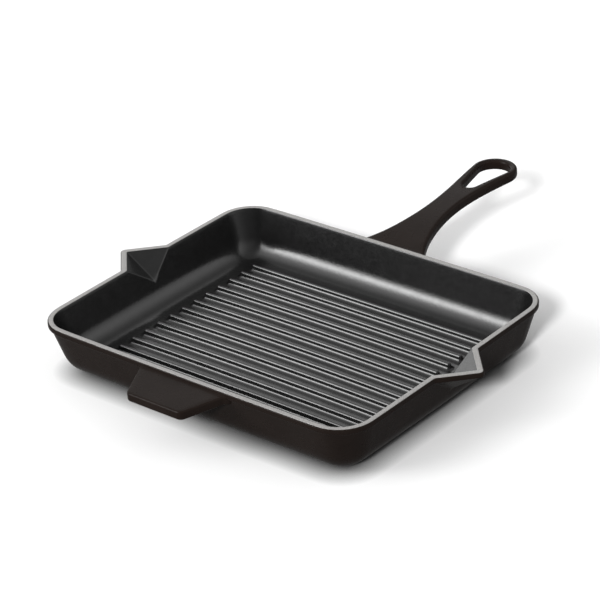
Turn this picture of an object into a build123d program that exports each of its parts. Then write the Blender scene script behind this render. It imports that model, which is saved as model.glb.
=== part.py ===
"""A rectangular cast-iron grill pan, enamelled inside and out.

The real pan is one iron casting with glass fused over it.  The casting is
written here as the pieces that its pattern is made of, which meet face to face:
the tray, its thirteen ribs, two pouring spouts, a long handle and a short one.
Over them lie three coats: satin black inside, gloss brown-black outside, and a
thin matt one on the rim between the two.

Frame: millimetres, +Z up.  X runs along the ribs, from spout to spout.  +Y runs
to the long handle.  The origin is the middle of the foot, on the surface that
the pan stands on.
"""

from build123d import *
import os
from math import atan, cos, radians, sin, sqrt, tan

# Driving dimensions: the tray
rim_length = 320.0
rim_depth = 260.0
pan_height = 47.5
rim_corner_radius = 30.0
side_bow = 0.8
wall_draft = 16.2
rim_width = 5.0
base_corner_radius = 20.5
base_round = 23.5
floor_height = 9.0
cavity_corner_radius = 17.5
cove_radius = 19.0

# The lip that stands out round the rim
lip_height = 4.5
lip_edge_round = 1.3
rim_inner_round = 1.0

# The foot that is ground flat, and the hollow inside it
foot_lift = 0.6
foot_inset = 35.0
foot_width = 9.0
foot_margin = 3.0
foot_corner_radius = 12.0
underside_recess = 3.0

# The ribs
rib_pitch = 15.0
rib_end_gap = 39.5
rib_height = 4.8
rib_crest_width = 2.6
rib_draft = 10.0
rib_crest_round = 0.9

# The pouring spouts
spout_half_width = 27.6
spout_reach = 25.8
spout_shift = 1.5
spout_depth = 19.0
spout_tip_round = 4.0
spout_crease_round = 1.5
spout_corner_round = 3.0

# The long handle
handle_drop = 1.7
handle_rise = 13.4
handle_level_reach = 142.0
handle_thickness = 9.0
handle_root_half_width = 36.5
handle_waist_half_width = 11.75
handle_waist_reach = 76.5
handle_edge_round = 2.6
loop_radius = 19.6
loop_blend_angle = 8.0
loop_wall = 5.9
loop_hole_setback = 0.8
loop_hole_tip_radius = 6.4
loop_hole_length = 53.4

# The short handle
tab_drop = 2.5
tab_droop = 3.0
tab_reach = 33.5
tab_root_half_width = 43.0
tab_tip_half_width = 27.5
tab_corner_round = 6.0
tab_thickness = 7.2
tab_edge_round = 1.5

# The coats of enamel
coat = 0.4
rim_coat_height = 1.4

# How far a cutting shape runs past what it cuts
overrun = 5.0

# Shares that shape the flare of the long handle between root and waist
flare_reach_share = 0.39
flare_width_share = 0.24

half_length = rim_length / 2 + side_bow
half_depth = rim_depth / 2 + side_bow
draft_run = tan(radians(wall_draft))
lip_bottom = pan_height - lip_height
root_plane = half_depth - rim_width
loop_hole_radius = loop_radius - loop_wall

# The flat floor ends where the cove begins, and holds as many ribs as fit
floor_inset = rim_width + (pan_height - floor_height) * draft_run
cove_run = cove_radius * (1 / cos(radians(wall_draft)) - draft_run)
floor_half_depth = rim_depth / 2 - floor_inset - cove_run
rib_count = 2 * int((floor_half_depth - rib_crest_width) / rib_pitch) + 1
rib_length = rim_length - 2 * rib_end_gap

# A spout in plan is a V.  Its crease falls from the tip to the inside wall
spout_spread = spout_half_width / spout_reach
spout_half_angle = atan(spout_spread)
crease_run = spout_reach + rim_width - rim_width / sin(spout_half_angle) + spout_depth * draft_run
crease_slope = spout_depth / crease_run
facet_shift = sqrt((crease_slope * spout_spread) ** 2 + crease_slope**2 + spout_spread**2) / (
    crease_slope * spout_spread
)


def bowed_outline(height, inset, corner_radius):
    """A rounded rectangle whose four sides bow out by side_bow at their middles."""
    x = rim_length / 2 - inset
    y = rim_depth / 2 - inset
    with BuildSketch(Plane.XY.offset(height)) as flat:
        with BuildLine():
            ThreePointArc((-x, -y), (0, -y - side_bow), (x, -y))
            ThreePointArc((x, -y), (x + side_bow, 0), (x, y))
            ThreePointArc((x, y), (0, y + side_bow), (-x, y))
            ThreePointArc((-x, y), (-x - side_bow, 0), (-x, -y))
        make_face()
        fillet(flat.vertices(), radius=corner_radius)
    return flat.sketch


def spout_outline(height, tip_reach, run, tip_round):
    """Half of a diamond on the +X side: a V with its tip tip_reach from the middle."""
    with BuildSketch(Plane.XY.offset(height)) as flat:
        with BuildLine():
            Polyline(
                (tip_reach, spout_shift),
                (tip_reach - run, spout_shift + run * spout_spread),
                (tip_reach - run, spout_shift - run * spout_spread),
                close=True,
            )
        make_face()
        fillet(flat.vertices().sort_by(Axis.X)[-1], radius=tip_round)
    return flat.sketch


def spout_wedge(height, tip_reach, run, tip_round):
    """The V of a spout, narrowing downwards to a point at the low end of its crease."""
    with BuildPart() as wedge:
        loft(
            [
                spout_outline(height, tip_reach, run, tip_round),
                Vertex(tip_reach - run, spout_shift, height - run * crease_slope),
            ]
        )
    return wedge.part


def wall_inset(height):
    """How far the outside of the wall lies inside the rim's edge at a height."""
    return (pan_height - height) * draft_run


def lip_outline(height, skin):
    """The outside of the lip in plan, with its two spouts."""
    tip_reach = half_length + spout_reach - skin / sin(spout_half_angle)
    spout = spout_outline(height, tip_reach, 2 * spout_reach, spout_tip_round - skin)
    with BuildSketch(Plane.XY.offset(height)) as flat:
        add(bowed_outline(height, skin, rim_corner_radius - skin))
        add(spout)
        add(mirror(spout, about=Plane.YZ))
        mouth_reach = spout_half_width + spout_shift + spout_tip_round
        mouths = flat.vertices().filter_by_position(Axis.Y, -mouth_reach, mouth_reach)
        inner_ends = mouths.filter_by_position(Axis.X, -half_length - skin, half_length + skin)
        fillet(inner_ends, radius=spout_corner_round + skin)
    return flat.sketch


def tray_block(skin):
    """The tray's outside as a filled block without lip or spouts, pulled in by skin."""
    slant = skin / cos(radians(wall_draft))
    bottom = foot_lift + skin
    top = lip_bottom + skin
    with BuildPart() as block:
        loft(
            [
                bowed_outline(bottom, wall_inset(bottom) + slant, base_corner_radius - skin),
                bowed_outline(top, wall_inset(top) + slant, rim_corner_radius - skin),
            ],
            ruled=True,
        )
        fillet(block.edges().group_by(Axis.Z)[0], radius=base_round - skin)
        recess_inset = foot_inset + foot_width + foot_margin - skin
        recess = bowed_outline(bottom, recess_inset, foot_corner_radius)
        extrude(recess, amount=underside_recess, mode=Mode.SUBTRACT)
    return block.part


def lip_ring(skin):
    """The lip as a filled slab on top of the tray block."""
    with BuildPart() as slab:
        extrude(lip_outline(lip_bottom + skin, skin), amount=lip_height - 2 * skin)
    return slab.part


def spout_bodies(skin):
    """The outside of both spouts below the lip, filled."""
    top = lip_bottom + skin
    run = crease_run + spout_reach / 4
    tip_reach = half_length + spout_reach - wall_inset(lip_bottom) / sin(spout_half_angle)
    tip_reach = tip_reach + skin / crease_slope - skin * facet_shift
    wedge = spout_wedge(top, tip_reach, run, spout_tip_round - skin)
    with BuildPart() as bodies:
        add(wedge)
        mirror(wedge, about=Plane.YZ)
    return bodies.part


def cavity(skin):
    """The room inside the tray and its spouts, grown by skin into the iron."""
    slant = skin / cos(radians(wall_draft))
    bottom = floor_height - skin
    top = pan_height + overrun
    tip_reach = half_length + spout_reach - rim_width / sin(spout_half_angle)
    rise_run = overrun / crease_slope
    wedge = spout_wedge(
        top,
        tip_reach + rise_run + skin * facet_shift,
        rise_run + crease_run + spout_reach / 2,
        spout_crease_round + skin,
    )
    with BuildPart() as room:
        loft(
            [
                bowed_outline(
                    bottom, rim_width + wall_inset(bottom) - slant, cavity_corner_radius + skin
                ),
                bowed_outline(
                    top, rim_width + wall_inset(top) - slant, rim_corner_radius - rim_width + skin
                ),
            ],
            ruled=True,
        )
        fillet(room.edges().group_by(Axis.Z)[0], radius=cove_radius + skin)
        add(wedge)
        mirror(wedge, about=Plane.YZ)
    return room.part


def ribs(skin):
    """All the ribs, each tapered on every side with a rounded crest."""
    spread = 2 * rib_height * tan(radians(rib_draft))
    width = rib_crest_width + spread - 2 * skin
    length = rib_length + spread - 2 * skin
    with BuildPart() as group:
        with BuildSketch(Plane.XY.offset(floor_height - skin)):
            with GridLocations(0, rib_pitch, 1, rib_count):
                SlotOverall(length, width)
        extrude(amount=rib_height, taper=rib_draft)
        fillet(group.edges().group_by(Axis.Z)[-1], radius=rib_crest_round - skin)
    return group.part


def handle_plan(skin):
    """The long handle from above: a flared root, a waist and a round loop end."""
    waist = handle_waist_half_width - skin
    root = handle_root_half_width - skin
    loop = loop_radius - skin
    waist_y = half_depth + handle_waist_reach
    loop_y = half_depth + handle_level_reach
    flare = (
        waist + (root - waist) * flare_width_share,
        half_depth + handle_waist_reach * flare_reach_share,
    )
    turn = radians(loop_blend_angle)
    blend = (loop * cos(turn), loop_y - loop * sin(turn))
    with BuildSketch(Plane.XY) as flat:
        with BuildLine():
            side = Spline(
                (root, root_plane),
                flare,
                (waist, waist_y),
                blend,
                tangents=[(-1, 1), (sin(turn), cos(turn))],
            )
            mirror(side, about=Plane.YZ)
            ThreePointArc(blend, (0, loop_y + loop), (-blend[0], blend[1]))
            Line((-root, root_plane), (root, root_plane))
        make_face()
    return flat.sketch


def handle_hole(skin):
    """The drop-shaped hole that the pan hangs by."""
    hole_y = half_depth + handle_level_reach - loop_hole_setback
    tip_y = hole_y + loop_hole_radius - loop_hole_length + loop_hole_tip_radius
    with BuildSketch(Plane.XY) as flat:
        with Locations((0, hole_y)):
            Circle(loop_hole_radius + skin)
        with Locations((0, tip_y)):
            Circle(loop_hole_tip_radius + skin)
        make_hull()
    return flat.sketch


def handle_side(skin):
    """The long handle from the side: it curves up from the rim and levels at the loop."""
    level_y = half_depth + handle_level_reach
    middle_y = (root_plane + level_y) / 2
    tip_y = level_y + loop_radius + overrun
    top = pan_height + handle_rise - skin
    low = pan_height + handle_rise - handle_thickness + skin
    fall = (handle_rise + handle_drop) * ((level_y - root_plane) / handle_level_reach) ** 2
    with BuildSketch(Plane.YZ) as flat:
        with BuildLine():
            Bezier((root_plane, top - fall), (middle_y, top), (level_y, top))
            Polyline((level_y, top), (tip_y, top), (tip_y, low), (level_y, low))
            Bezier((level_y, low), (middle_y, low), (root_plane, low - fall))
            Line((root_plane, low - fall), (root_plane, top - fall))
        make_face()
    return flat.sketch


def long_handle_shape(skin):
    """The long handle, from inside the wall out to its loop."""
    with BuildPart() as handle:
        extrude(handle_plan(skin), amount=2 * pan_height)
        extrude(handle_hole(skin), amount=2 * pan_height, mode=Mode.SUBTRACT)
        extrude(handle_side(skin), amount=rim_length, both=True, mode=Mode.INTERSECT)
        long_edges = handle.edges().filter_by(Axis.Z, reverse=True)
        rounded = long_edges.filter_by_position(Axis.Y, root_plane, rim_length, (False, True))
        fillet(rounded, radius=handle_edge_round - skin)
    return handle.part


def tab_plan(skin):
    """The short handle from above: a blunt wedge with round corners."""
    tip_y = -half_depth - tab_reach + skin
    spread = (tab_root_half_width - tab_tip_half_width) / tab_reach
    tip = tab_tip_half_width - skin
    root = tip + spread * (tab_reach + rim_width)
    with BuildSketch(Plane.XY) as flat:
        with BuildLine():
            Polyline(
                (-root, -root_plane),
                (-tip, tip_y),
                (tip, tip_y),
                (root, -root_plane),
                close=True,
            )
        make_face()
        fillet(flat.vertices().group_by(Axis.Y)[0], radius=tab_corner_round - skin)
    return flat.sketch


def tab_side(skin):
    """The short handle from the side: it droops a little towards its edge."""
    slope = tab_droop / tab_reach
    top = pan_height - tab_drop - skin
    low = pan_height - tab_drop - tab_thickness + skin
    tip_y = -half_depth - tab_reach - overrun
    root_lift = slope * rim_width
    tip_fall = slope * (tab_reach + overrun)
    with BuildSketch(Plane.YZ) as flat:
        with BuildLine():
            Polyline(
                (-root_plane, top + root_lift),
                (tip_y, top - tip_fall),
                (tip_y, low - tip_fall),
                (-root_plane, low + root_lift),
                close=True,
            )
        make_face()
    return flat.sketch


def helper_handle_shape(skin):
    """The short handle, from inside the wall out to its edge."""
    with BuildPart() as tab:
        extrude(tab_plan(skin), amount=2 * pan_height)
        extrude(tab_side(skin), amount=rim_length, both=True, mode=Mode.INTERSECT)
        long_edges = tab.edges().filter_by(Axis.Z, reverse=True)
        rounded = long_edges.filter_by_position(Axis.Y, -rim_length, -root_plane, (True, False))
        fillet(rounded, radius=tab_edge_round - skin)
    return tab.part


def tray_and_spouts(skin):
    """The open tray with its lip and spouts, before handles and ribs."""
    with BuildPart() as tray:
        add(tray_block(skin))
        add(spout_bodies(skin))
        add(lip_ring(skin))
        fillet(tray.edges().group_by(Axis.Z)[-1], radius=lip_edge_round - skin)
        add(cavity(skin), mode=Mode.SUBTRACT)
        rim_top = tray.faces().sort_by(Axis.Z)[-1]
        fillet(rim_top.inner_wires()[0].edges(), radius=rim_inner_round - skin)
    return tray.part


def foot_ring():
    """The ring that is ground bare and flat, which the pan stands on."""
    with BuildPart() as ring:
        extrude(bowed_outline(0, foot_inset, foot_corner_radius), amount=foot_lift + coat)
        inside = bowed_outline(0, foot_inset + foot_width, foot_corner_radius)
        extrude(inside, amount=foot_lift + coat, mode=Mode.SUBTRACT)
    return ring.part


def tray_fill(skin):
    """The tray block with a plain lip, which the spouts and handles meet."""
    with BuildPart() as fill:
        add(tray_block(skin))
        lip_base = lip_bottom + skin
        extrude(bowed_outline(lip_base, skin, rim_corner_radius - skin), amount=lip_height)
    return fill.part


iron_fill = tray_fill(coat)
iron_tray = tray_and_spouts(coat)

# The iron of the ribs, which stand on the floor
with BuildPart() as grill_ribs:
    add(ribs(coat))
grill_ribs.part.label = "grill_ribs"

# The iron of the spouts is what stands out beyond the tray on either side
with BuildPart() as spout_pair:
    add(iron_tray)
    add(iron_fill, mode=Mode.SUBTRACT)
left_iron, right_iron = spout_pair.part.solids().sort_by(Axis.X)

# The rest of that iron is the tray's floor, walls and lip, and the foot joins them
with BuildPart() as pan_body:
    add(iron_tray)
    add(spout_pair.part, mode=Mode.SUBTRACT)
    add(foot_ring())
pan_body.part.label = "pan_body"

with BuildPart() as left_pour_spout:
    add(left_iron)
left_pour_spout.part.label = "left_pour_spout"

with BuildPart() as right_pour_spout:
    add(right_iron)
right_pour_spout.part.label = "right_pour_spout"

# The iron of the two handles, which meet the tray at its wall and lip
with BuildPart() as long_handle:
    add(long_handle_shape(coat))
    add(iron_fill, mode=Mode.SUBTRACT)
long_handle.part.label = "long_handle"

with BuildPart() as helper_handle:
    add(helper_handle_shape(coat))
    add(iron_fill, mode=Mode.SUBTRACT)
helper_handle.part.label = "helper_handle"

# All the enamel is the finished pan without its iron
with BuildPart() as enamel:
    add(tray_and_spouts(0))
    add(long_handle_shape(0))
    add(helper_handle_shape(0))
    add(ribs(0))
    add(iron_tray, mode=Mode.SUBTRACT)
    add(foot_ring(), mode=Mode.SUBTRACT)
    add(grill_ribs.part, mode=Mode.SUBTRACT)
    add(long_handle.part, mode=Mode.SUBTRACT)
    add(helper_handle.part, mode=Mode.SUBTRACT)

# The rim carries a thin coat of its own, which parts the inside coat from the outside one
rim_joint = pan_height - rim_coat_height
with BuildPart() as rim_slab:
    extrude(lip_outline(rim_joint, -coat), amount=rim_coat_height + overrun)

with BuildPart() as rim_enamel:
    add(enamel.part)
    add(rim_slab.part, mode=Mode.INTERSECT)
rim_enamel.part.label = "rim_enamel"

# Below the rim there are three coats: inside, outside, and under the floor within the foot
with BuildPart() as side_enamel:
    add(enamel.part)
    add(rim_slab.part, mode=Mode.SUBTRACT)
underside_coat, inside_coat, outside_coat = side_enamel.part.solids().sort_by(Axis.Z)

with BuildPart() as underside_enamel:
    add(underside_coat)
underside_enamel.part.label = "underside_enamel"

with BuildPart() as interior_enamel:
    add(inside_coat)
interior_enamel.part.label = "interior_enamel"

with BuildPart() as exterior_enamel:
    add(outside_coat)
exterior_enamel.part.label = "exterior_enamel"

pieces = [
    pan_body,
    grill_ribs,
    left_pour_spout,
    right_pour_spout,
    long_handle,
    helper_handle,
    interior_enamel,
    exterior_enamel,
    underside_enamel,
    rim_enamel,
]

os.makedirs("parts", exist_ok=True)
for piece in pieces:
    export_step(piece.part, "parts/" + piece.part.label + ".step")
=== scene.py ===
# %% [markdown]
# # An enamelled grill pan
# The frame holds the pan's iron and its coats of enamel at their real size. The iron
# is right as it is, but it is hidden: what the eye meets is enamel, smooth outside
# and pebbled inside, with soft roundings that catch the light. So this lesson keeps
# the iron nodes and rebuilds every visible coat as a smooth numpy surface that lies
# on the same planes and roundings as the frame's own solids.

# %% Load the frame
import math

import bmesh
import bpy
import numpy as np
from mathutils import Matrix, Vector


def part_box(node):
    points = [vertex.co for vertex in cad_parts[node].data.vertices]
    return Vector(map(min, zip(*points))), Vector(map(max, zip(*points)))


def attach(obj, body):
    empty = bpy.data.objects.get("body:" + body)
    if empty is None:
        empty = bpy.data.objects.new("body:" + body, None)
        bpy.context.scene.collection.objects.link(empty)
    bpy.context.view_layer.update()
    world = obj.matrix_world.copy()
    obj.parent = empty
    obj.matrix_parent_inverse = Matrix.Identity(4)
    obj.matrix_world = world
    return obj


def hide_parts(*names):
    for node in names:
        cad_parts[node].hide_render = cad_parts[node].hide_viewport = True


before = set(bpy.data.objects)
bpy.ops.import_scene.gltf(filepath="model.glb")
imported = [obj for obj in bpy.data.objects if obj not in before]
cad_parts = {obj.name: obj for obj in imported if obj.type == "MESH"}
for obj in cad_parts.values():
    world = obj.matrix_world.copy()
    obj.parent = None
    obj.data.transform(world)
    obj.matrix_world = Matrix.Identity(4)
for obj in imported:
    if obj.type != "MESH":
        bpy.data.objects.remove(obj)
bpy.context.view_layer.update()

# %% [markdown]
# ## Sizes
# A pan maker thinks in millimetres and degrees, so the sizes here are in
# millimetres, and only the last step to a mesh scales them to metres. The overall
# sizes are read off the frame's nodes, and only what a box can't tell, such as a
# radius or a draft angle, is a value of its own.

# %% Sizes of the tray
mm = 0.001


def box(node):
    """The lowest and highest corner of a node, in millimetres."""
    low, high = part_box(node)
    return np.array(low) / mm, np.array(high) / mm


coat = 0.4
floor_crown = 1.5
side_bow = 0.8
rim_width = 5.0
wall_draft = math.radians(16.2)
rim_corner = 30.0
base_corner = 20.5
cavity_corner = 17.5
base_round = 23.5
cove_round = 19.0
lip_height = 4.5
lip_round = 1.3
lip_foot_round = 0.45
rim_round = 1.0
foot_inset = 35.0
foot_lift = 0.6
foot_corner = 12.0

pan_height = box("rim_enamel")[1][2]
half_depth = box("rim_enamel")[1][1] - side_bow
half_length = box("pan_body")[1][0] + coat - side_bow
floor_height = box("interior_enamel")[0][2] + coat
draft_run = math.tan(wall_draft)
print(f"rim {2 * half_length:.1f} by {2 * half_depth:.1f} mm, {pan_height:.1f} mm tall")

# %% [markdown]
# The ribs are cast with the floor. Each has a narrow crest, full shoulders and
# steep sides that leave the sand easily, and the shoulders catch the light. So the
# cross-section is a list of arcs: how far each turns, in degrees, and its radius.

# %% Sizes of the ribs
rib_pitch = 15.0
rib_side = 6
rib_height = 4.8
rib_crest_width = 2.6
rib_draft = math.radians(10.0)
rib_foot_round = 3.0
rib_flat = 0.6
rib_turns = (0, 12, 24, 35, 43, 50, 56, 62, 70, 80)
rib_rounds = (1.0, 1.0, 1.0, 2.6, 2.6, 2.6, 2.6, 2.6, 1.0)
rib_reach = box("grill_ribs")[1][0] + coat
print(f"{2 * rib_side + 1} ribs, {2 * rib_reach:.1f} mm long")

# %% [markdown]
# Each spout is a V that stands out of the short wall, with two flat facets that
# meet in a crease. Its half width, its reach and its depth settle both facets, and
# the slopes follow from them.

# %% Sizes of the spouts
spout_half_width = 27.6
spout_reach = 25.8
spout_shift = 1.5
spout_depth = 19.0
spout_tip_round = 4.0
spout_crease_round = 1.4
spout_spread = spout_half_width / spout_reach
spout_angle = math.atan(spout_spread)
crease_slope = spout_depth / (
    spout_reach + rim_width - rim_width / math.sin(spout_angle) + spout_depth * draft_run
)
facet_run = math.sin(spout_angle) / crease_slope

# %% [markdown]
# ## Lines of the floor's grid
# The floor inside is one grid, and a rib's shape shows only where the grid has
# lines. So every rib has its own set of lines, crowded where its cross-section
# turns, and a few lines are enough for the valleys and the flat margin.

# %% Where the lines of the floor's grid run
edge_lines = 8
corner_lines = 4
floor_inset = rim_width + (pan_height - floor_height) * draft_run
cove_run = cove_round * (1 / math.cos(wall_draft) - draft_run)
floor_half_length = half_length - floor_inset - cove_run
floor_half_depth = half_depth - floor_inset - cove_run


def rib_profile():
    """Half a rib's cross-section, from its crest's middle to the floor beside it.

    A narrow flat crest, then arcs that turn down to a side that leans by rib_draft:
    each goes out by its radius times the sine's change and down by its radius times
    the cosine's.  A hollow arc of rib_foot_round runs out onto the floor.
    """
    turn = np.radians(rib_turns)
    out = rib_flat / 2 + np.r_[0, np.cumsum(rib_rounds * np.diff(np.sin(turn)))]
    down = rib_height + np.r_[0, np.cumsum(rib_rounds * np.diff(np.cos(turn)))]
    back = np.linspace(math.pi + rib_draft, 1.5 * math.pi, 7)
    up = rib_foot_round + rib_foot_round * np.sin(back)
    foot = out[-1] + (down[-1] - up[0]) * math.tan(rib_draft)
    beside = foot + rib_foot_round * (np.cos(back) + math.cos(rib_draft))
    return np.r_[0, out, beside], np.r_[rib_height, down, up]


rib_away, rib_rise = rib_profile()
valley_share = 0.55
valley = rib_away[-1] + valley_share * (rib_pitch / 2 - rib_away[-1])
half_pitch = np.r_[rib_away, valley]
one_rib = np.r_[-half_pitch[:0:-1], half_pitch]
rib_lines = (np.arange(-rib_side, rib_side + 1)[:, None] * rib_pitch + one_rib).ravel()
valley_lines = (np.arange(-rib_side, rib_side) + 0.5) * rib_pitch
floor_margin = 0.8
far_y = floor_half_depth - floor_margin
far_x = floor_half_length - floor_margin
rib_edge = rib_lines.max()
outer_y = np.linspace(rib_edge, far_y, edge_lines + 1)[1:]
floor_y = np.sort(np.r_[rib_lines, valley_lines, outer_y, -outer_y])

rib_end = rib_reach + rib_foot_round
rib_body = rib_reach - 2 * rib_crest_width
outer_x = np.linspace(rib_end, far_x, edge_lines + 1)[1:]
end_x = np.linspace(rib_body, rib_end, 15)
middle_x = np.linspace(-rib_body, rib_body, 27)[1:-1]
floor_x = np.sort(np.r_[outer_x, -outer_x, end_x, -end_x, middle_x])
print(f"the floor's grid has {len(floor_x)} by {len(floor_y)} lines")

# %% [markdown]
# ## The tray as a family of outlines
# Inside and outside, every level of the tray has the same outline: a rectangle with
# rounded corners, sides that bow out a little, and a V on each short side where the
# spout is. Only the sizes change with height. So one function gives the outlines of
# all levels at once, and a wall, a rim or a rounded base is a list of levels. The
# columns of the mesh follow the mouth of the V as it narrows, so that the spout's
# facets meet the wall on clean lines.

# %% Outlines of many levels at once
side_columns = len(floor_y) - 2 * corner_lines
end_columns = len(floor_x) - 2 - 2 * corner_lines
corner_columns = 2 * corner_lines
mouth_share = 0.3
mouth_least = 5.0
edge_pull = 0.6
side_fill = 0.995
blend = 1.1


def ease(t):
    """Draws evenly spaced shares t towards 0 and 1: t less a sine of it."""
    return t - edge_pull * np.sin(2 * math.pi * t) / (2 * math.pi)


def smooth_max(p, q, width):
    """The larger of p and q, with a parabola of the given width where they cross."""
    near = np.clip(width - np.abs(p - q), 0, None) / width
    return np.maximum(p, q) + near**2 * width / 4


def side_places(mouth, end, follow):
    """Where the columns stand along a short side, for every level.

    Near the floor they stand on the grid's lines.  Further up they divide the side
    into the mouth of the spout and what lies on either side of it.  follow, from
    0 to 1, goes from the first to the second.
    """
    on_floor = floor_y[corner_lines:-corner_lines] / floor_y[-corner_lines - 1]
    u = np.linspace(-1, 1, side_columns)
    beside = (1 - mouth_share) * ease((np.abs(u) - mouth_share) / (1 - mouth_share))
    room = end - mouth - np.sign(u) * spout_shift
    outside = spout_shift + np.sign(u) * (mouth + room * beside / (1 - mouth_share))
    inside = spout_shift + mouth * np.sign(u) * ease(np.abs(u) / mouth_share)
    along = np.where(np.abs(u) > mouth_share, outside, inside)
    return (1 - follow) * on_floor * end * side_fill + follow * along


def outlines(a, b, corner, tip, tip_round, follow):
    """The outlines of all levels, as an array of levels by columns by two.

    a and b are half the length and depth at the corners, and the sides bow out by
    side_bow (1 - s^2), with s from -1 to 1 along the side.  corner is the corner's
    radius.  tip is where the V's two straight lines meet, and tip_round rounds it.
    """
    a, b, corner, tip, tip_round, follow = (
        np.asarray(v, float)[:, None] for v in (a, b, corner, tip, tip_round, follow)
    )
    middle_x = a - corner + side_bow * (1 - ((b - corner) / b) ** 2)
    middle_y = b - corner + side_bow * (1 - ((a - corner) / a) ** 2)
    lean_x = 2 * side_bow * (b - corner) / b**2
    lean_y = 2 * side_bow * (a - corner) / a**2
    end_y = middle_y + corner * np.sin(lean_x)
    end_x = middle_x + corner * np.sin(lean_y)

    mouth = np.maximum((tip - a - side_bow) * spout_spread, mouth_least)
    y = side_places(mouth, end_y, follow)
    wall = a + side_bow * (1 - (y / b) ** 2)
    off = np.abs(y - spout_shift)
    straight = tip - off / spout_spread
    round_off = np.minimum(off, tip_round * math.cos(spout_angle))
    rounded = tip - tip_round / math.sin(spout_angle) + np.sqrt(tip_round**2 - round_off**2)
    spout = np.where(off > tip_round * math.cos(spout_angle), straight, rounded)
    side = np.stack([smooth_max(wall, spout, blend), y], -1)

    share = (np.arange(corner_columns) + 1) / (corner_columns + 1)
    turn = lean_x + share * (math.pi / 2 - lean_x - lean_y)
    upper = np.stack([middle_x + corner * np.cos(turn), middle_y + corner * np.sin(turn)], -1)
    lower = (upper * [1, -1])[:, ::-1]
    right = np.concatenate([lower, side, upper], axis=1)
    left = (right * [-1, 1])[:, ::-1]
    across = np.linspace(1, -1, end_columns + 2)[1:-1]
    x = across * end_x
    back = np.stack([x, b + side_bow * (1 - (x / a) ** 2)], -1)
    return np.concatenate([right, back, left, -back], axis=1)


def stacked(loops, heights):
    """Puts each level's outline at its height."""
    z = np.broadcast_to(np.asarray(heights, float)[:, None, None], (*loops.shape[:2], 1))
    return np.concatenate([loops, z], -1)


# %% [markdown]
# ## From arrays to meshes
# A sheet of points is a grid: every point has a row and a column, so the faces are
# index arithmetic. A closed outline wraps its last column round to its first. The
# coats get their thickness from a Solidify modifier that grows into the iron, so
# that each piece is a closed shell and no loose skin.

# %% Helpers that make a mesh


def grid_faces(rows, columns, wrap, start=0):
    """The quads of a grid of points, row by row, as an array of four indices."""
    index = start + np.arange(rows * columns).reshape(rows, columns)
    if wrap:
        index = np.concatenate([index, index[:, :1]], axis=1)
    quads = [index[:-1, :-1], index[:-1, 1:], index[1:, 1:], index[1:, :-1]]
    return np.stack(quads, -1).reshape(-1, 4)


def mesh_object(name, points, quads):
    """A mesh object at the origin from points in millimetres and quads."""
    mesh = bpy.data.meshes.new(name)
    mesh.vertices.add(len(points))
    mesh.vertices.foreach_set("co", (np.asarray(points, float) * mm).ravel())
    mesh.loops.add(quads.size)
    mesh.loops.foreach_set("vertex_index", quads.ravel().astype(np.int32))
    mesh.polygons.add(len(quads))
    mesh.polygons.foreach_set("loop_start", np.arange(0, quads.size, 4, dtype=np.int32))
    mesh.update(calc_edges=True)
    mesh.validate()
    mesh.shade_smooth()
    piece = bpy.data.objects.new(name, mesh)
    bpy.context.scene.collection.objects.link(piece)
    print(f"{name}: {len(points)} points, {len(quads)} faces")
    return piece


def thicken(piece, thickness):
    """Gives a sheet its thickness, away from the side that its faces point to."""
    solid = piece.modifiers.new("coat", "SOLIDIFY")
    solid.thickness = thickness * mm
    solid.offset = -1


def join_doubles(piece, close):
    """Merges points that lie together, closes the open end and turns faces outward."""
    shape = bmesh.new()
    shape.from_mesh(piece.data)
    bmesh.ops.remove_doubles(shape, verts=shape.verts, dist=0.002 * mm)
    if close:
        rim = [edge for edge in shape.edges if edge.is_boundary]
        bmesh.ops.holes_fill(shape, edges=rim, sides=0)
    bmesh.ops.recalc_face_normals(shape, faces=shape.faces)
    shape.to_mesh(piece.data)
    shape.free()


# %% [markdown]
# ## The inside
# The floor is a height field: every point takes its height from its distance to the
# nearest rib's middle line, through the rib's cross-section. The lines of the grid
# crowd where that cross-section turns. Its edge is then carried on, point for point,
# through the flat margin, the cove, the wall and its spouts, and over the rim's
# inner edge, so that the whole inside is one sheet without a seam.

# %% Heights of the floor


def floor_heights(x, y):
    """The floor with its ribs: height is the cross-section at the distance to a rib.

    A rib's middle line ends short of its reach by half its width, so the distance
    to that line gives each rib a round end.  The whole floor is crowned a little:
    the crown falls off with the square of x and of y.
    """
    nearest = np.clip(np.round(y / rib_pitch), -rib_side, rib_side) * rib_pitch
    half_line = rib_reach - rib_crest_width / 2 - rib_height * math.tan(rib_draft)
    beyond = np.clip(np.abs(x) - half_line, 0, None)
    away = np.hypot(beyond, y - nearest)
    crown = floor_crown * (1 - (x / floor_half_length) ** 2) * (1 - (y / floor_half_depth) ** 2)
    return floor_height + crown + np.interp(away, rib_away, rib_rise)


grid_x, grid_y = np.meshgrid(floor_x, floor_y)
floor_points = np.stack([grid_x, grid_y, floor_heights(grid_x, grid_y)], -1)

# %% [markdown]
# A cast wall leans outward to leave the sand, and meets the floor in a wide hollow
# rounding that a brush can follow. Each level of the rounding, of the wall and of
# the rim's inner edge is one outline, so what has to be worked out here is its
# height, its size, its corner's radius and the tip of its V.

# %% Levels of the inside
smooth_step = np.linspace(0, 1, 10)
cove_turn = smooth_step * (math.pi / 2 - wall_draft)
cove_a = floor_half_length + cove_round * np.sin(cove_turn)
cove_z = floor_height + cove_round * (1 - np.cos(cove_turn))
wall_z = np.linspace(cove_z[-1], pan_height - rim_round, 15)[1:-1]
rim_turn = np.linspace(wall_draft, math.pi / 2, 6)
rim_z = pan_height - rim_round + rim_round * np.sin(rim_turn)
rim_joint = 4
cutter_over = 5.0
inside_z = np.r_[cove_z, wall_z, rim_z[:rim_joint]]


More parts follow.
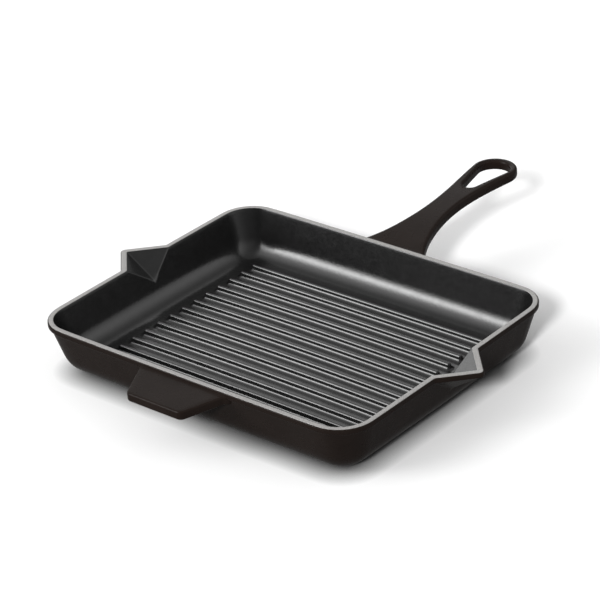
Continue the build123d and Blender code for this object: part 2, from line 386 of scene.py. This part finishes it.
def edge_shift(z, run, radius):
    """How far a leaning face with a rounded top edge lies outside its line's top end.

    Below the rounding it is the straight line, run times the height below the top.
    Above, it is a circle that touches both the line and the top.
    """
    lean = math.atan(run)
    middle = radius * (1 - math.sin(lean)) / math.cos(lean)
    up = np.clip(z - (pan_height - radius), radius * math.sin(lean), radius)
    circle = middle - np.sqrt(np.clip(radius**2 - up**2, 0, None))
    line = (z - pan_height) * run
    return np.where(z > pan_height - radius + radius * math.sin(lean), circle, line)


def cavity_corners(z):
    """The radius of the cavity's corners, which grows evenly with height."""
    growth = (rim_corner - rim_width - cavity_corner) / (pan_height + cutter_over - floor_height)
    return cavity_corner + growth * (z - floor_height)


def inner_tip(z):
    """Where the inside of the spout's V comes to its point at a height."""
    at_rim = half_length + side_bow + spout_reach - rim_width / math.sin(spout_angle)
    return at_rim + edge_shift(z, facet_run, rim_round) / math.sin(spout_angle)


wall_shift = half_length - rim_width + edge_shift(inside_z, draft_run, rim_round)
inside_a = np.where(inside_z <= cove_z[-1], 0, wall_shift)
inside_a[: len(cove_a)] = cove_a
first_corner = cavity_corner - cove_run
last_corner = cavity_corners(cove_z[-1])
inside_corner = cavity_corners(inside_z)
inside_corner[: len(cove_a)] = first_corner + (last_corner - first_corner) * (
    (cove_a - cove_a[0]) / (cove_a[-1] - cove_a[0])
)
inside_follow = np.ones(len(inside_z))
inside_follow[: len(cove_a)] = smooth_step**2 * (3 - 2 * smooth_step)
crease = np.full(len(inside_z), spout_crease_round)

inside_loops = outlines(
    inside_a,
    inside_a - half_length + half_depth,
    inside_corner,
    inner_tip(inside_z),
    crease,
    inside_follow,
)
inside_walls = stacked(inside_loops, inside_z)

# %% [markdown]
# The coat inside is sprayed and fired as one skin, so floor and walls are one sheet
# here too. The grid's edge and the first outline have as many points each, and a
# strip of faces joins them point for point.

# %% Join the floor to the walls
rows, columns = grid_x.shape
spot = np.arange(rows * columns).reshape(rows, columns)
edge_loop = np.concatenate([spot[:-1, -1], spot[-1, :0:-1], spot[:0:-1, 0], spot[0, :-1]])
edge_loop = np.roll(edge_loop, corner_lines)
wall_columns = inside_walls.shape[1]
assert len(edge_loop) == wall_columns, (len(edge_loop), wall_columns)
floor_count = rows * columns
first_row = floor_count + np.arange(wall_columns)
seam = np.stack(
    [edge_loop, np.roll(edge_loop, -1), np.roll(first_row, -1), first_row], -1
)
inside_quads = np.concatenate(
    [
        grid_faces(rows, columns, False),
        seam[:, ::-1],
        grid_faces(inside_walls.shape[0], wall_columns, True, floor_count)[:, ::-1],
    ]
)
inside_points = np.concatenate([floor_points.reshape(-1, 3), inside_walls.reshape(-1, 3)])
inside_skin = mesh_object("inside_enamel", inside_points, inside_quads)
coat_thickness = 0.3
thicken(inside_skin, coat_thickness)
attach(inside_skin, "root")
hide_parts("interior_enamel")

# %% [markdown]
# ## The outside
# Outside, the list of levels goes down from the rim: over the lip's rounded edge,
# down its side, back under it, down the leaning wall, round the wide base rounding
# and in to the foot. The V of the spout is at its widest on the lip and runs out on
# the wall.

# %% Levels of the outside
top_turn = np.linspace(math.pi / 2, 0, 7)
lip_a = half_length - lip_round + lip_round * np.cos(top_turn)
lip_z = pan_height - lip_round + lip_round * np.sin(top_turn)
lip_joint = 2
under_turn = np.linspace(0, math.pi / 2, 4)
lip_bottom = pan_height - lip_height
under_a = half_length - lip_foot_round + lip_foot_round * np.cos(under_turn)
under_z = lip_bottom + lip_foot_round - lip_foot_round * np.sin(under_turn)
lip_inset = lip_height * draft_run
tuck = 0.5
tuck_turn = np.linspace(0, math.pi / 2 - wall_draft, 4)
tuck_a = half_length - lip_inset + tuck * (1 - np.sin(tuck_turn))
tuck_z = lip_bottom - tuck * (1 - np.cos(tuck_turn))
turn_down = np.linspace(math.pi / 2 - wall_draft, 0, 11)
base_low = half_length - (pan_height - foot_lift) * draft_run
base_run = base_round * (1 / math.cos(wall_draft) - draft_run)
base_a = base_low - base_run + base_round * np.sin(turn_down)
base_z = foot_lift + base_round * (1 - np.cos(turn_down))
side_z = np.linspace(tuck_z[-1], base_z[0], 15)[1:-1]
side_a = half_length - (pan_height - side_z) * draft_run
foot_under = 0.6
foot_a = half_length - foot_inset + foot_under * np.array([2, -1])
foot_z = np.array([foot_lift, foot_lift])
outside_a = np.r_[lip_a[lip_joint:], under_a, tuck_a, side_a, base_a, foot_a]
outside_z = np.r_[lip_z[lip_joint:], under_z, tuck_z, side_z, base_z, foot_z]


def block_corners(z):
    """The radius of the outside's corners, which grows evenly from base to lip."""
    growth = (rim_corner - base_corner) / (lip_bottom - foot_lift)
    return np.minimum(base_corner + growth * (z - foot_lift), rim_corner)


def outer_tip(a, z):
    """Where the outside of the V comes to its point: upright on the lip, then sloping."""
    on_lip = half_length + side_bow + spout_reach + (a - half_length) / math.sin(spout_angle)
    below = half_length + side_bow + spout_reach - lip_inset / math.sin(spout_angle)
    on_wall = below - (lip_bottom - z) / crease_slope
    return np.where(z >= lip_bottom, on_lip, on_wall)


outside_corner = block_corners(outside_z)
last = len(base_a) + len(foot_a)
base_first = block_corners(base_z[0])
outside_corner[-last : -len(foot_a)] = base_first + (base_corner - base_run - base_first) * (
    (base_a[0] - base_a) / (base_a[0] - base_a[-1])
)
outside_corner[-len(foot_a) :] = foot_corner
outside_tip = outer_tip(outside_a, outside_z)
just_below = 1e-6
least_share = 0.05
tip_low = outer_tip(half_length, lip_bottom - just_below)
spout_low = lip_bottom - (tip_low - half_length + lip_inset - side_bow) / (
    1 / crease_slope - draft_run
)
tip_share = np.clip((outside_z - spout_low) / (lip_bottom - spout_low), least_share, 1)
outside_loops = outlines(
    outside_a,
    outside_a - half_length + half_depth,
    outside_corner,
    outside_tip,
    spout_tip_round * tip_share,
    np.ones(len(outside_a)),
)
outside_walls = stacked(outside_loops, outside_z)
outside_skin = mesh_object(
    "outside_enamel",
    outside_walls.reshape(-1, 3),
    grid_faces(*outside_walls.shape[:2], True)[:, ::-1],
)
thicken(outside_skin, coat_thickness)
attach(outside_skin, "root")
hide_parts("exterior_enamel")

# %% [markdown]
# ## The rim
# The black and the brown coats stop short of the rim, where only the thin grey
# ground coat under them shows. It is the band between the inside's last level and
# the outside's first, with the rest of both roundings.

# %% The rim's band
inner_rim_z = rim_z[rim_joint - 1 :]
inner_rim_a = half_length - rim_width + edge_shift(inner_rim_z, draft_run, rim_round)
outer_rim_z = lip_z[: lip_joint + 1]
outer_rim_a = lip_a[: lip_joint + 1]
inner_rim = outlines(
    inner_rim_a,
    inner_rim_a - half_length + half_depth,
    np.full(len(inner_rim_z), rim_corner - rim_width),
    inner_tip(inner_rim_z),
    np.full(len(inner_rim_z), spout_crease_round),
    np.ones(len(inner_rim_z)),
)
outer_rim = outlines(
    outer_rim_a,
    outer_rim_a - half_length + half_depth,
    np.full(len(outer_rim_z), rim_corner),
    outer_tip(outer_rim_a, outer_rim_z),
    np.full(len(outer_rim_z), spout_tip_round),
    np.ones(len(outer_rim_z)),
)
between = np.linspace(0, 1, 4)[1:-1, None, None]
flat_rim = inner_rim[-1:] * (1 - between) + outer_rim[:1] * between
rim_points = np.concatenate(
    [
        stacked(inner_rim, inner_rim_z),
        stacked(flat_rim, np.full(len(flat_rim), pan_height)),
        stacked(outer_rim, outer_rim_z),
    ]
)
rim_band = mesh_object(
    "rim_band", rim_points.reshape(-1, 3), grid_faces(*rim_points.shape[:2], True)[:, ::-1]
)
thicken(rim_band, coat_thickness)
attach(rim_band, "root")
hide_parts("rim_enamel")

# %% [markdown]
# ## The handles
# Each handle is a plate with an outline in plan, a top and a bottom that follow a
# curve seen from the side, and edges rounded by an arc. Half-way round its outline
# the plate turns back, so it is made as a band: every column runs from the outline
# in to the middle line, or in to the edge of the hanging hole. The two sides of the
# band meet on the middle line, where their doubled points are merged.

# %% Outline helpers
lip_face = half_depth + side_bow
root_plane = lip_face - rim_width


def clamped_spline(points, start, end, count):
    """A smooth curve through points, with a given direction at each end.

    Between two points it is a cubic.  The slopes at the points in between are those
    that keep the bending continuous: a small set of linear equations.
    """
    points = np.asarray(points, float)
    step = np.hypot(*np.diff(points, axis=0).T)
    n = len(points)
    matrix = np.eye(n)
    right = np.zeros((n, 2))
    right[0] = np.asarray(start) / np.hypot(*start)
    right[-1] = np.asarray(end) / np.hypot(*end)
    chord = np.diff(points, axis=0) / step[:, None]
    for i in range(1, n - 1):
        matrix[i, i - 1 : i + 2] = step[i], 2 * (step[i - 1] + step[i]), step[i - 1]
        right[i] = 3 * (step[i] * chord[i - 1] + step[i - 1] * chord[i])
    slope = np.linalg.solve(matrix, right)
    place = np.linspace(0, step.sum(), count)
    knots = np.r_[0, np.cumsum(step)]
    i = np.clip(np.searchsorted(knots, place, side="right") - 1, 0, n - 2)
    t = ((place - knots[i]) / step[i])[:, None]
    h = step[i][:, None]
    return (
        (1 + 2 * t) * (1 - t) ** 2 * points[i]
        + t * (1 - t) ** 2 * h * slope[i]
        + t**2 * (3 - 2 * t) * points[i + 1]
        + t**2 * (t - 1) * h * slope[i + 1]
    )


def resample(curve, shares):
    """Points of a curve at given shares of its length."""
    length = np.r_[0, np.cumsum(np.hypot(*np.diff(curve[:, :2], axis=0).T))]
    at = shares * length[-1]
    return np.stack([np.interp(at, length, part) for part in curve.T], -1)


def inward(outline):
    """The unit direction into the plate at each point of an outline run clockwise."""
    along = np.gradient(outline, axis=0)
    along /= np.hypot(*along.T)[:, None]
    return np.stack([along[:, 1], -along[:, 0]], -1)


def fillet_rise(y, face, radius):
    """The rise of a hollow rounding of the given radius against a face at y = face."""
    near = np.clip(radius - (np.abs(y) - face), 0, radius)
    return radius - np.sqrt(radius**2 - near**2)


def plate(name, outline, core, core_out, hole, edge, top, bottom, fill_rows=7):
    """A plate with rounded edges, from its outline in to its core line.

    outline and core have as many points each.  core_out is the direction in which
    the core's edge is rounded, for the stretch of columns named by the slice hole.
    top and bottom give the two heights at a point's place in plan.
    """
    into = inward(outline)
    turn = np.linspace(math.pi / 2, 0, 6)[:, None, None]
    ring = outline + edge * (1 - np.cos(turn)) * into
    ring[..., 1] = np.sign(ring[..., 1]) * np.maximum(np.abs(ring[..., 1]), root_plane)
    drop = edge * (1 - np.sin(turn[:, :, 0]))
    upper = np.concatenate([ring, (top(ring) - drop)[:, :, None]], -1)
    lower = np.concatenate([ring, (bottom(ring) + drop)[:, :, None]], -1)
    inner_ring = core + edge * core_out
    share = np.linspace(1, 0, fill_rows + 1)[:-1, None, None]
    field = inner_ring * share + ring[0] * (1 - share)
    upper_field = np.concatenate([field, top(field)[:, :, None]], -1)
    lower_field = np.concatenate([field, bottom(field)[:, :, None]], -1)
    shell = np.concatenate([upper_field, upper, lower[::-1], lower_field[::-1]])
    points = shell.reshape(-1, 3)
    quads = grid_faces(*shell.shape[:2], False)
    if hole is not None:
        bore = core[hole] + edge * (1 - np.cos(turn)) * core_out[hole]
        bore_up = np.concatenate([bore, (top(bore) - drop)[:, :, None]], -1)
        bore_low = np.concatenate([bore, (bottom(bore) + drop)[:, :, None]], -1)
        wall = np.concatenate([bore_up, bore_low[::-1]])
        quads = np.concatenate([quads, grid_faces(*wall.shape[:2], False, len(points))[:, ::-1]])
        points = np.concatenate([points, wall.reshape(-1, 3)])
    piece = mesh_object(name, points, quads)
    join_doubles(piece, close=True)
    piece.data.shade_smooth()
    return piece


# %% [markdown]
# The long handle flares into the wall, rises in a curve to a level loop, and has a
# hole like a drop to hang it by. A smooth curve through a few measured half widths
# gives its side, and a mirror image the other one.

# %% The long handle
handle_end = box("exterior_enamel")[1][1]
handle_top = box("exterior_enamel")[1][2]
handle_drop = 1.7
handle_thickness = 9.0
handle_edge = 2.6
loop_radius = 19.6
loop_turn = math.radians(8.0)
level_y = handle_end - loop_radius
root_half_width = 36.5
waist_half_width = 11.75
waist_y = lip_face + 76.5
flare_width_share = 0.24
flare_reach_share = 0.39
hole_radius = loop_radius - 5.9
hole_tip_radius = 6.4
hole_y = level_y - 0.8
hole_tip_y = hole_y + hole_radius - 53.4 + hole_tip_radius
side_root_round = 2.5
top_root_round = 0.9

flare = (
    waist_half_width + (root_half_width - waist_half_width) * flare_width_share,
    lip_face + (waist_y - lip_face) * flare_reach_share,
)
loop_start = (loop_radius * math.cos(loop_turn), level_y - loop_radius * math.sin(loop_turn))
shank = clamped_spline(
    [(root_half_width, root_plane), flare, (waist_half_width, waist_y), loop_start],
    (-1, 1),
    (math.sin(loop_turn), math.cos(loop_turn)),
    400,
)
shank[:, 0] += fillet_rise(shank[:, 1], lip_face, side_root_round)
loop_angle = np.linspace(-loop_turn, math.pi / 2, 120)
loop = np.stack([loop_radius * np.cos(loop_angle), level_y + loop_radius * np.sin(loop_angle)], -1)
half_outline = np.concatenate([shank, loop[1:]])

shank_columns = 60
loop_columns = 72
split_y = hole_tip_y - hole_tip_radius
root_rows = np.linspace(0, 1, shank_columns) ** 1.15
shank_y = root_plane + (split_y - root_plane) * root_rows
shank_x = np.interp(shank_y, shank[:, 1], shank[:, 0])
past = half_outline[:, 1] > split_y
past |= np.arange(len(half_outline)) > len(shank)
loop_part = np.concatenate([[(shank_x[-1], shank_y[-1])], half_outline[past]])
loop_outline = resample(loop_part, np.linspace(0, 1, loop_columns))
half_columns = np.concatenate([np.stack([shank_x, shank_y], -1)[:-1], loop_outline])

drop_turn = math.asin((hole_radius - hole_tip_radius) / (hole_y - hole_tip_y))
tip_angle = np.linspace(-math.pi / 2, -drop_turn, 60)
far_angle = np.linspace(-drop_turn, math.pi / 2, 90)
hole_x = np.r_[hole_tip_radius * np.cos(tip_angle), hole_radius * np.cos(far_angle)]
hole_yy = np.r_[
    hole_tip_y + hole_tip_radius * np.sin(tip_angle), hole_y + hole_radius * np.sin(far_angle)
]
hole_normal = np.r_[tip_angle, far_angle]
hole_half = resample(np.stack([hole_x, hole_yy, hole_normal], -1), np.linspace(0, 1, loop_columns))
core_half = np.concatenate([np.stack([0 * shank_y, shank_y], -1)[:-1], hole_half[:, :2]])
out_half = np.zeros_like(core_half)
out_half[-loop_columns:] = np.stack([np.cos(hole_half[:, 2]), np.sin(hole_half[:, 2])], -1)
core_half[:-loop_columns, 1] -= handle_edge * root_rows[:-1]


def both_sides(half):
    """A half outline and its mirror image, as one run from left root to right root."""
    return np.concatenate([half * [-1, 1], half[-2::-1]])


def handle_rise(plan):
    """The long handle's top: a parabola up from the root that levels off at the loop."""
    reach = np.clip((level_y - plan[..., 1]) / (level_y - lip_face), 0, None)
    rise = handle_top - (pan_height - handle_drop)
    return handle_top - rise * reach**2 + fillet_rise(plan[..., 1], lip_face, top_root_round)


def handle_under(plan):
    """The long handle's underside, a plate's thickness below its top."""
    return handle_rise(plan) - handle_thickness


handle_outline = both_sides(half_columns)
first_hole = shank_columns - 1
handle_skin = plate(
    "long_handle_enamel",
    handle_outline,
    both_sides(core_half),
    both_sides(out_half),
    slice(first_hole, len(handle_outline) - first_hole),
    handle_edge,
    handle_rise,
    handle_under,
)
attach(handle_skin, "root")
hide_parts("long_handle")

# %% [markdown]
# The short handle is a flat tab that gives the other hand a hold when the pan is
# full. Its outline is a trapezium with two rounded corners, and its top falls a
# little towards the front.

# %% The short handle
tab_tip = -box("exterior_enamel")[0][1]
tab_drop = 2.5
tab_droop = 3.0
tab_thickness = 7.2
tab_edge = 1.5
tab_root = 43.0
tab_front = 27.5
tab_corner = 6.0
tab_reach = tab_tip - lip_face
tab_lean = math.atan((tab_root - tab_front) / tab_reach)
corner_turn = math.pi / 2 - tab_lean
corner_back = tab_corner * math.tan(corner_turn / 2)
side_rows = np.linspace(0, 1, 24)[:, None]
root_point = np.array([tab_root + math.tan(tab_lean) * rim_width, root_plane])
front_point = np.array([tab_front, tab_tip])
toward = (root_point - front_point) / np.hypot(*(root_point - front_point))
side_end = front_point + toward * corner_back
tab_side = root_point + (side_end - root_point) * side_rows
tab_side[:, 0] += fillet_rise(tab_side[:, 1], lip_face, side_root_round)
corner_angle = np.linspace(tab_lean, math.pi / 2, 14)[1:]
corner_middle = np.array([tab_front - corner_back, tab_tip - tab_corner])
tab_turn = corner_middle + tab_corner * np.stack([np.cos(corner_angle), np.sin(corner_angle)], -1)
front_rows = np.linspace(1, 0, 14)[1:, None]
tab_front_line = np.array([tab_front - corner_back, tab_tip]) * [1, 0] * front_rows + [0, tab_tip]
tab_half = np.concatenate([tab_side, tab_turn, tab_front_line])
pole_y = tab_tip - tab_corner - tab_edge
tab_core = np.stack([0 * tab_half[:, 1], np.minimum(tab_half[:, 1], pole_y)], -1)


def tab_rise(plan):
    """The short handle's top: a flat that falls evenly towards its front edge."""
    out = np.abs(plan[..., 1]) - lip_face
    return pan_height - tab_drop - tab_droop * out / tab_reach + fillet_rise(
        plan[..., 1], lip_face, top_root_round
    )


def tab_under(plan):
    """The short handle's underside."""
    out = np.abs(plan[..., 1]) - lip_face
    return pan_height - tab_drop - tab_thickness - tab_droop * out / tab_reach


turned = both_sides(tab_half) * [-1, -1]
tab_skin = plate(
    "helper_handle_enamel",
    turned,
    both_sides(tab_core) * [-1, -1],
    np.zeros_like(turned),
    None,
    tab_edge,
    tab_rise,
    tab_under,
)
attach(tab_skin, "root")
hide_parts("helper_handle")

# %% [markdown]
# ## Finishes
# Enamel is glass, so each coat is a plain dark shader with a reflection, and what
# makes it look real is the surface: a sand casting leaves pebbles a millimetre or
# two across, which show through the satin coat inside and almost drown in the
# thicker coat outside. All patterns are noise in Object coordinates, in metres.

# %% Node helpers


def new_material(name, colour, roughness, metallic=0.0):
    """A material with a Principled shader, and its node tree, shader and coordinates."""
    material = bpy.data.materials.new(name)
    material.use_nodes = True
    tree = material.node_tree
    shader = tree.nodes["Principled BSDF"]
    shader.inputs["Base Color"].default_value = (*colour, 1)
    shader.inputs["Roughness"].default_value = roughness
    shader.inputs["Metallic"].default_value = metallic
    place = tree.nodes.new("ShaderNodeTexCoord")
    return material, tree, shader, place.outputs["Object"]


def noise(tree, place, scale, detail=3.0, rough=0.55):
    """Noise with about scale features to the metre."""
    node = tree.nodes.new("ShaderNodeTexNoise")
    node.inputs["Scale"].default_value = scale
    node.inputs["Detail"].default_value = detail
    node.inputs["Roughness"].default_value = rough
    tree.links.new(place, node.inputs["Vector"])
    return node.outputs["Fac"]


def spread(tree, value, low, high, start=0.3, end=0.7):
    """Carries a noise from its usual range to the range from low to high."""
    node = tree.nodes.new("ShaderNodeMapRange")
    node.inputs["From Min"].default_value = start
    node.inputs["From Max"].default_value = end
    node.inputs["To Min"].default_value = low
    node.inputs["To Max"].default_value = high
    tree.links.new(value, node.inputs["Value"])
    return node.outputs["Result"]


def bump(tree, value, height, below=None, strength=1.0):
    """Turns a pattern into relief of a height in millimetres, on top of another bump."""
    node = tree.nodes.new("ShaderNodeBump")
    node.inputs["Distance"].default_value = height * mm
    node.inputs["Strength"].default_value = strength
    tree.links.new(value, node.inputs["Height"])
    if below is not None:
        tree.links.new(below, node.inputs["Normal"])
    return node.outputs["Normal"]


def tint(tree, value, dark, light):
    """A colour between two, by a value from 0 to 1."""
    node = tree.nodes.new("ShaderNodeMix")
    node.data_type = "RGBA"
    node.inputs["A"].default_value = (*dark, 1)
    node.inputs["B"].default_value = (*light, 1)
    tree.links.new(value, node.inputs["Factor"])
    return node.outputs["Result"]


# %% [markdown]
# The inside is a black enamel with a satin gloss, fired over the grain of the
# casting. Low relief in two sizes breaks up the long reflections in it.

# %% The satin enamel inside
inside_enamel, tree, shader, place = new_material("satin_enamel", (0.007, 0.007, 0.007), 0.2)
shader.inputs["Specular IOR Level"].default_value = 0.8
mottle = spread(tree, noise(tree, place, 90), 0, 1)
dark, light = (0.005, 0.005, 0.005), (0.008, 0.008, 0.008)
tree.links.new(tint(tree, mottle, dark, light), shader.inputs["Base Color"])
tree.links.new(spread(tree, noise(tree, place, 260), 0.17, 0.24), shader.inputs["Roughness"])
pebbles = bump(tree, noise(tree, place, 450, 2), 0.06)
tree.links.new(bump(tree, noise(tree, place, 1300, 2), 0.007, pebbles), shader.inputs["Normal"])
inside_skin.data.materials.append(inside_enamel)

# %% [markdown]
# The outside and both handles have a thicker brown-black enamel that hides the
# grain. It reflects little, so that its colour shows more than its gloss.

# %% The brown enamel outside
outside_enamel, tree, shader, place = new_material("brown_enamel", (0.02, 0.015, 0.013), 0.3)
shader.inputs["Specular IOR Level"].default_value = 0.08
mottle = spread(tree, noise(tree, place, 40), 0, 1)
dark, light = (0.0115, 0.0078, 0.0063), (0.0145, 0.01, 0.0083)
tree.links.new(tint(tree, mottle, dark, light), shader.inputs["Base Color"])
tree.links.new(spread(tree, noise(tree, place, 120), 0.25, 0.33), shader.inputs["Roughness"])
waves = bump(tree, noise(tree, place, 140, 2), 0.02)
tree.links.new(bump(tree, noise(tree, place, 700, 2), 0.004, waves), shader.inputs["Normal"])
for piece in (outside_skin, handle_skin, tab_skin):
    piece.data.materials.append(outside_enamel)

# %% [markdown]
# The ground coat on the rim is thin, grey and finely speckled, with a soft sheen.

# %% The thin grey coat on the rim
rim_enamel, tree, shader, place = new_material("rim_ground_coat", (0.3, 0.29, 0.28), 0.5)
speckle = spread(tree, noise(tree, place, 900), 0, 1)
dark, light = (0.23, 0.225, 0.22), (0.36, 0.35, 0.34)
tree.links.new(tint(tree, speckle, dark, light), shader.inputs["Base Color"])
tree.links.new(spread(tree, noise(tree, place, 300), 0.28, 0.4), shader.inputs["Roughness"])
tree.links.new(bump(tree, noise(tree, place, 1100, 2), 0.012), shader.inputs["Normal"])
rim_band.data.materials.append(rim_enamel)

# %% [markdown]
# Bare iron shows only on the ring that the foot is ground flat on. The iron nodes of
# the frame get it all over, and the frame's coats get the finishes made above.

# %% The iron and the coat underneath
bare_iron, tree, shader, place = new_material("ground_iron", (0.2, 0.2, 0.2), 0.45, 0.9)
grain = spread(tree, noise(tree, place, 800), 0, 1)
dark, light = (0.13, 0.125, 0.12), (0.28, 0.27, 0.26)
tree.links.new(tint(tree, grain, dark, light), shader.inputs["Base Color"])
tree.links.new(spread(tree, noise(tree, place, 200), 0.35, 0.6), shader.inputs["Roughness"])
tree.links.new(bump(tree, noise(tree, place, 1800, 2), 0.02), shader.inputs["Normal"])


def repaint(names, material):
    """Gives nodes of the frame one material in place of their own."""
    for name in names:
        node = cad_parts[name]
        node.data.materials.clear()
        node.data.materials.append(material)


iron_nodes = ("pan_body", "grill_ribs", "left_pour_spout", "right_pour_spout")
repaint((*iron_nodes, "long_handle", "helper_handle"), bare_iron)
repaint(("interior_enamel",), inside_enamel)
repaint(("exterior_enamel", "underside_enamel"), outside_enamel)
repaint(("rim_enamel",), rim_enamel)
print("every node of the frame has a finish")

# %% [markdown]
# ## Stage, light and camera
# The stage is a white floor before a white background, as in a studio picture. The
# floor is white to the camera, with painted shade close to the pan: an ambient
# occlusion node darkens its colour where little light gets in. To everything else
# it is a third as pale, so that it doesn't brighten the dark walls from below.

# %% The floor
floor_size = 40.0
floor_mesh = bpy.data.meshes.new("floor")
half = floor_size / 2
corners = [(-half, -half, 0), (half, -half, 0), (half, half, 0), (-half, half, 0)]
floor_mesh.from_pydata(corners, [], [(0, 1, 2, 3)])
floor = bpy.data.objects.new("floor", floor_mesh)
bpy.context.scene.collection.objects.link(floor)
floor_paint = bpy.data.materials.new("pale_floor")
floor_paint.use_nodes = True
tree = floor_paint.node_tree
tree.nodes.clear()
out = tree.nodes.new("ShaderNodeOutputMaterial")
seen = tree.nodes.new("ShaderNodeBsdfDiffuse")
# Painted shade: an ambient occlusion node darkens the floor's colour close to the pan.
painted_contact_shade = tree.nodes.new("ShaderNodeAmbientOcclusion")
painted_contact_shade.samples = 16
painted_contact_shade.inputs["Distance"].default_value = 18 * mm
tree.links.new(painted_contact_shade.outputs["Color"], seen.inputs["Color"])
unseen = tree.nodes.new("ShaderNodeBsdfDiffuse")
unseen.inputs["Color"].default_value = (0.3, 0.3, 0.3, 1)
path = tree.nodes.new("ShaderNodeLightPath")
pick = tree.nodes.new("ShaderNodeMixShader")
tree.links.new(path.outputs["Is Camera Ray"], pick.inputs["Fac"])
tree.links.new(unseen.outputs[0], pick.inputs[1])
tree.links.new(seen.outputs[0], pick.inputs[2])
tree.links.new(pick.outputs[0], out.inputs["Surface"])
floor_mesh.materials.append(floor_paint)

# %% [markdown]
# The pan is dark and glossy, so what shapes it is what it mirrors. The surround is
# black but for a few soft lights, each brightest in its middle. The strong one
# stands low on the front left, and its mirror image runs along the cove behind and
# along every rib. The camera sees plain white in its place.

# %% The surround
# azimuth from +X and elevation in degrees, tightness, strength
lobes = [
    (-131, 27, 36, 10.5),
    (-150, 47, 15, 1.3),
    (131, 28, 12, 1.1),
    (50, 30, 8, 0.75),
    (160, 6, 20, 1.4),
    (10, 30, 6, 0.6),
    (-55, 35, 10, 0.2),
    (0, 90, 6, 0.25),
]
world = bpy.data.worlds.new("surround")
bpy.context.scene.world = world
world.use_nodes = True
tree = world.node_tree
tree.nodes.clear()


def math_node(operation, first, second=None):
    """A math node on a linked value and, for some operations, a number or another."""
    node = tree.nodes.new("ShaderNodeMath")
    node.operation = operation
    for slot, value in zip(node.inputs, (first, second)):
        if isinstance(value, (int, float)):
            slot.default_value = value
        elif value is not None:
            tree.links.new(value, slot)
    return node.outputs[0]


def soft_light(place, azimuth, elevation, tightness, strength):
    """A round soft light in the surround: strength times e^(tightness (cos - 1)).

    cos is of the angle between the direction looked in and the light's middle.
    """
    azimuth, elevation = math.radians(azimuth), math.radians(elevation)
    middle = (
        math.cos(azimuth) * math.cos(elevation),
        math.sin(azimuth) * math.cos(elevation),
        math.sin(elevation),
    )
    dot = tree.nodes.new("ShaderNodeVectorMath")
    dot.operation = "DOT_PRODUCT"
    dot.inputs[1].default_value = middle
    tree.links.new(place, dot.inputs[0])
    away = math_node("SUBTRACT", dot.outputs["Value"], 1.0)
    fall = math_node("EXPONENT", math_node("MULTIPLY", away, float(tightness)))
    return math_node("MULTIPLY", fall, float(strength))


sky_place = tree.nodes.new("ShaderNodeTexCoord").outputs["Generated"]
glow = soft_light(sky_place, *lobes[0])
for lobe in lobes[1:]:
    glow = math_node("ADD", glow, soft_light(sky_place, *lobe))
path = tree.nodes.new("ShaderNodeLightPath")
level = tree.nodes.new("ShaderNodeMix")
tree.links.new(path.outputs["Is Camera Ray"], level.inputs["Factor"])
tree.links.new(glow, level.inputs["A"])
level.inputs["B"].default_value = 1.0
light = tree.nodes.new("ShaderNodeBackground")
light.inputs["Color"].default_value = (1, 1, 1, 1)
tree.links.new(level.outputs["Result"], light.inputs["Strength"])
out = tree.nodes.new("ShaderNodeOutputWorld")
tree.links.new(light.outputs[0], out.inputs["Surface"])

# %% [markdown]
# One lamp on the front right casts the long handle's shadow on the floor. It is
# kept out of reflections, so that it adds no glint to the enamel.

# %% The lamp
lamp_azimuth = math.radians(-68)
lamp_elevation = math.radians(30)
lamp = bpy.data.lights.new("floor_lamp", "SUN")
lamp.energy = 2.6
lamp.angle = math.radians(9)
holder = bpy.data.objects.new(lamp.name, lamp)
holder.visible_glossy = False
holder.rotation_euler = (0, math.pi / 2 - lamp_elevation, lamp_azimuth)
bpy.context.scene.collection.objects.link(holder)

# %% [markdown]
# The camera stands where the photo's did, as worked out from the rim, the ribs and
# the foot: a long way off, with a long lens and a slight roll. Its shift is half a
# pixel, because the photo's points were read at the middles of pixels.

# %% The camera
azimuth = math.radians(41.38)
elevation = math.radians(28.05)
roll = math.radians(-4.0)
camera_distance = 2087.36
aim = np.array([-2.902, 14.212, pan_height])
focal_pixels = 2631.8
frame_pixels = 600
half_pixel = 0.5
camera = bpy.data.cameras.new("camera")
camera.sensor_width = 36
camera.lens = focal_pixels / frame_pixels * camera.sensor_width
camera.shift_x = -half_pixel / frame_pixels
camera.shift_y = half_pixel / frame_pixels
camera.clip_start = 0.1
camera.clip_end = 20
eye = bpy.data.objects.new("camera", camera)
bpy.context.scene.collection.objects.link(eye)
bpy.context.scene.camera = eye
back = np.array(
    [
        math.sin(azimuth) * math.cos(elevation),
        -math.cos(azimuth) * math.cos(elevation),
        math.sin(elevation),
    ]
)
right = np.cross(-back, [0, 0, 1])
right /= np.linalg.norm(right)
up = np.cross(right, -back)
turn = np.eye(4)
turn[:3, 0] = right * math.cos(roll) + up * math.sin(roll)
turn[:3, 1] = -right * math.sin(roll) + up * math.cos(roll)
turn[:3, 2] = back
turn[:3, 3] = (aim + back * camera_distance) * mm
eye.matrix_world = Matrix(turn.tolist())
bpy.context.scene.view_settings.view_transform = "Standard"
